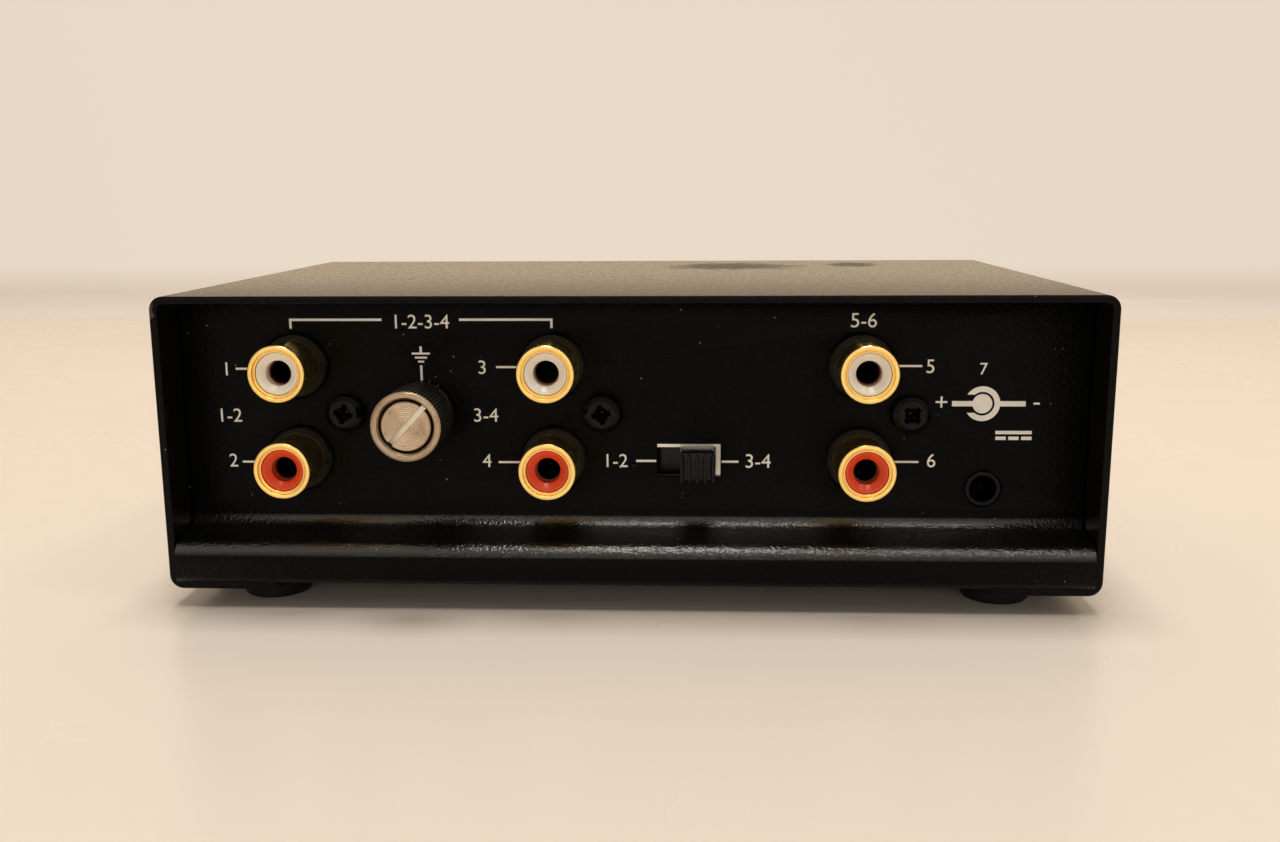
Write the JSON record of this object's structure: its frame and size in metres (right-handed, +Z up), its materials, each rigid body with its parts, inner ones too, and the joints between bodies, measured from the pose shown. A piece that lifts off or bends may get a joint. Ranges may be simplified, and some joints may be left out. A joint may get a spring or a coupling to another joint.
{
  "type": "phono preamplifier",
  "caption": "Small black two-piece sheet metal phono preamplifier: recessed connector panel with stacked phono jacks, slide switch, knurled ground terminal and power inlet, on rubber feet.",
  "frame": {"origin": "middle of the outline, on the surface that the feet stand on", "axes": "+X to the right when the jacks are looked at, along the sleeve's width; the jack panel faces -Y and the panel with the light +Y; +Z up"},
  "size_m": [0.136, 0.0898, 0.046],
  "materials": {
    "black_powder_coat": "fine wrinkled powder coat, satin",
    "panel_paint": "smooth satin powder coat with pale screen printing",
    "foot_rubber": "matt",
    "zinc_steel": "bright zinc plate",
    "black_steel": "black oxide",
    "brass_plain": "turned",
    "gold_plate": "gold plate, bright",
    "nickel_plate": "warm nickel plate, turned",
    "block_plastic": "moulded",
    "white_insulator": "moulded, glossy",
    "red_insulator": "moulded, glossy",
    "switch_plastic": "moulded",
    "laminate_tan": "paper laminate",
    "tinned_copper": "tinned",
    "socket_plastic": "moulded, glossy",
    "green_laminate": "solder mask",
    "can_sleeve": "shrink sleeve",
    "film_box": "moulded box",
    "ceramic_dip": "dipped",
    "chip_epoxy": "moulded epoxy",
    "resistor_body": "lacquered",
    "heatsink_aluminium": "black anodised",
    "ferrite": "sintered",
    "light_lens": "tinted, diffused"
  },
  "bodies": {
    "case": {"board_screws": "zinc_steel", "board_standoffs": "brass_plain", "centre_contacts": "gold_plate", "ceramic_capacitors": "ceramic_dip", "chassis_tray": "panel_paint", "circuit_board": "green_laminate", "clinch_nuts": "zinc_steel", "coupling_capacitors": "can_sleeve", "diode_leads": "tinned_copper", "diodes": "chip_epoxy", "film_capacitors": "film_box", "foot_screws": "black_steel", "ground_hex_nut": "zinc_steel", "ground_plates": "tinned_copper", "ground_post": "nickel_plate", "ground_retainer": "nickel_plate", "ground_star_washer": "zinc_steel", "ground_tag": "tinned_copper", "jack_block_left": "block_plastic", "jack_block_middle": "block_plastic", "jack_block_right": "block_plastic", "jack_screws": "black_steel", "jack_shell_left_lower": "gold_plate", "jack_shell_left_upper": "gold_plate", "jack_shell_middle_lower": "gold_plate", "jack_shell_middle_upper": "gold_plate", "jack_shell_right_lower": "gold_plate", "jack_shell_right_upper": "gold_plate", "light_leads": "tinned_copper", "op_amp_sockets": "block_plastic", "op_amps": "chip_epoxy", "power_contacts": "tinned_copper", "power_light": "light_lens", "power_pin": "nickel_plate", "power_socket": "socket_plastic", "red_insulators": "red_insulator", "regulator": "chip_epoxy", "regulator_heatsink": "heatsink_aluminium", "regulator_screw": "zinc_steel", "resistor_leads": "tinned_copper", "resistors": "resistor_body", "rubber_feet": "foot_rubber", "sleeve_cover": "black_powder_coat", "supply_capacitors": "can_sleeve", "supply_choke": "ferrite", "switch_base": "laminate_tan", "switch_frame": "nickel_plate", "switch_terminals": "tinned_copper", "transistor_leads": "tinned_copper", "transistors": "chip_epoxy", "white_insulators": "white_insulator"},
    "switch_slider": {"switch_slider": "switch_plastic", "switch_bridges": "tinned_copper"},
    "clamp_washer": {"ground_washer": "nickel_plate"},
    "thumb_nut": {"ground_nut": "nickel_plate"}
  },
  "joints": [
    {"name": "switch_slide", "type": "slide", "parent": "case", "child": "switch_slider", "axis": [-1, 0, 0], "range_m": [0, 0.0025]},
    {"name": "washer_slide", "type": "slide", "parent": "case", "child": "clamp_washer", "axis": [0, -1, 0], "range_m": [0, 0.0024]},
    {"name": "nut_turn", "type": "hinge", "parent": "clamp_washer", "child": "thumb_nut", "pos_m": [-0.0308, -0.0349, 0.02815], "axis": [0, -1, 0], "range_deg": [0, 1080]}
  ],
  "couplings": [
    {"joint": "nut_turn", "follows": "washer_slide", "rad_per_m": 7854}
  ]
}
